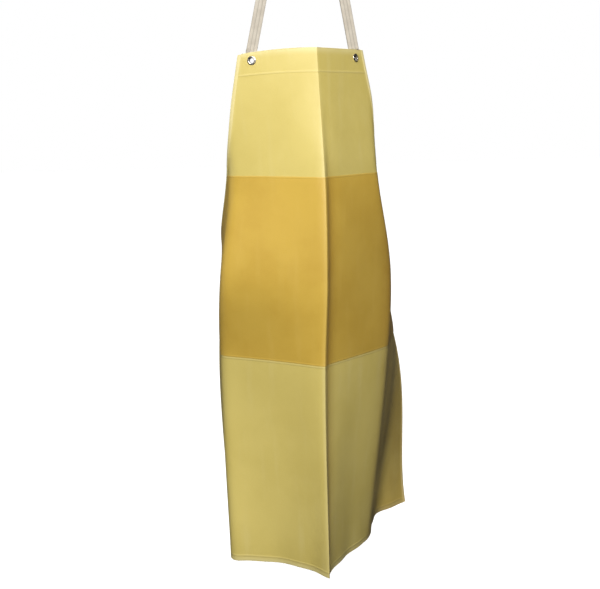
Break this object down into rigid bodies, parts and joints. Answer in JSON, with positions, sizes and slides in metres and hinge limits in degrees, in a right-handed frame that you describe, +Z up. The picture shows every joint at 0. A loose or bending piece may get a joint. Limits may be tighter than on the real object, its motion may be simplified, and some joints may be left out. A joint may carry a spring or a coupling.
{
  "type": "butcher apron",
  "caption": "Full-length coated-sheet apron with a doubled belly band, bound edges, metal eyelets and a webbing neck strap with a slide adjuster.",
  "frame": {"origin": "where the inner face of the neck strap rests on the back of the wearer's neck", "axes": "+Z up along the hang, -Y the way the front faces, +X to the right seen from the front"},
  "size_m": [0.5753, 0.4637, 1.4682],
  "materials": {
    "sheet": "pale yellow polyurethane coated on a fine fabric, satin",
    "patch": "ochre polyurethane coated on a fine fabric, satin",
    "binding": "pale yellow welded binding tape",
    "nickel": "nickel-plated brass, worn",
    "webbing": "natural cotton webbing with lengthwise ribs",
    "slider": "plated steel, slightly worn"
  },
  "bodies": {
    "neck": {"neck_strap": "webbing", "strap_tail": "webbing"},
    "slider": {"strap_slider": "slider"},
    "apron": {"apron_sheet": "sheet", "belly_patch": "patch", "top_facing": "sheet", "bottom_hem": "sheet", "edge_binding_left": "binding", "edge_binding_right": "binding", "waist_patch_left": "sheet", "waist_patch_right": "sheet", "bib_eyelet_left": "nickel", "bib_eyelet_right": "nickel", "bib_washer_left": "nickel", "bib_washer_right": "nickel", "waist_eyelet_left": "nickel", "waist_eyelet_right": "nickel", "waist_washer_left": "nickel", "waist_washer_right": "nickel", "strap_tab_left": "webbing", "strap_loop_right": "webbing"}
  },
  "joints": [
    {"name": "apron_swing", "type": "hinge", "parent": "neck", "child": "apron", "pos_m": [0, -0.1372, -0.25986], "axis": [-0.999, 0, -0.045], "range_deg": [-12, 50]},
    {"name": "slider_travel", "type": "slide", "parent": "neck", "child": "slider", "axis": [-0.2079, 0, 0.9781], "range_m": [-0.05, 0.025]}
  ]
}
